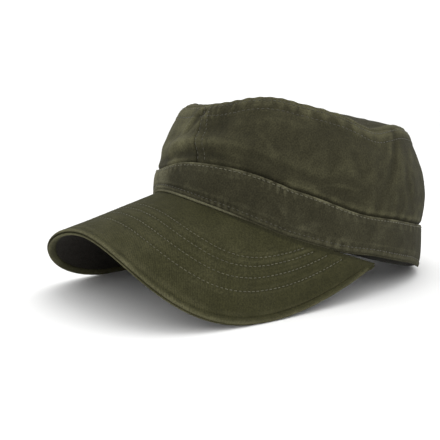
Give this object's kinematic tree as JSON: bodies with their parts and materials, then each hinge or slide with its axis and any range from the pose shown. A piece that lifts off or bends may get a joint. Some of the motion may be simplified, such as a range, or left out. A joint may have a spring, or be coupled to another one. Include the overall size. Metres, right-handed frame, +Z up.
{
  "type": "military peaked cap",
  "caption": "Soft field cap with a panelled crown, an outer band, a stitched rolled brim and a strap with a cam buckle across a rear arch.",
  "frame": {"origin": "bottom centre of the bounding box of the cap as it stands on its brim and rear hem", "axes": "+Z up from the table, brim towards -Y, wearer's left towards +X"},
  "size_m": [0.1734, 0.271, 0.1242],
  "materials": {
    "olive_cloth": "washed cotton twill, matt, worn pale along folded edges",
    "interlining": "plain woven stiffening cloth",
    "seam_tape": "plain woven cotton tape",
    "sweatband_cloth": "brushed cotton",
    "board": "flexible polyethylene board",
    "buckle_metal": "aged dull brass",
    "label_cloth": "satin woven label, blank"
  },
  "bodies": {
    "cap": {"crown_side_left": "olive_cloth", "crown_side_right": "olive_cloth", "crown_back_panel": "olive_cloth", "crown_top_panel": "olive_cloth", "outer_band": "olive_cloth", "arch_binding": "olive_cloth", "brim_upper_cover": "olive_cloth", "brim_under_cover": "olive_cloth", "brim_edge_welt": "olive_cloth", "buckle_tab": "olive_cloth", "front_interlining": "interlining", "band_stiffener": "interlining", "crown_rim_tape": "seam_tape", "seam_tape_front": "seam_tape", "seam_tape_left": "seam_tape", "seam_tape_right": "seam_tape", "sweatband": "sweatband_cloth", "brim_board": "board", "buckle_frame": "buckle_metal", "buckle_pin": "buckle_metal", "care_label": "label_cloth"},
    "strap": {"back_strap": "olive_cloth"},
    "lever": {"buckle_lever": "buckle_metal"}
  },
  "joints": [
    {"name": "strap_adjust", "type": "hinge", "parent": "cap", "child": "strap", "pos_m": [0, 0.05253, 0.00664], "axis": [0, 0.0925, 0.9957], "range_deg": [-12, 12]},
    {"name": "buckle_open", "type": "hinge", "parent": "cap", "child": "lever", "pos_m": [0.01659, 0.13025, -0.00058], "axis": [0, -0.0925, -0.9957], "range_deg": [0, 100]}
  ]
}
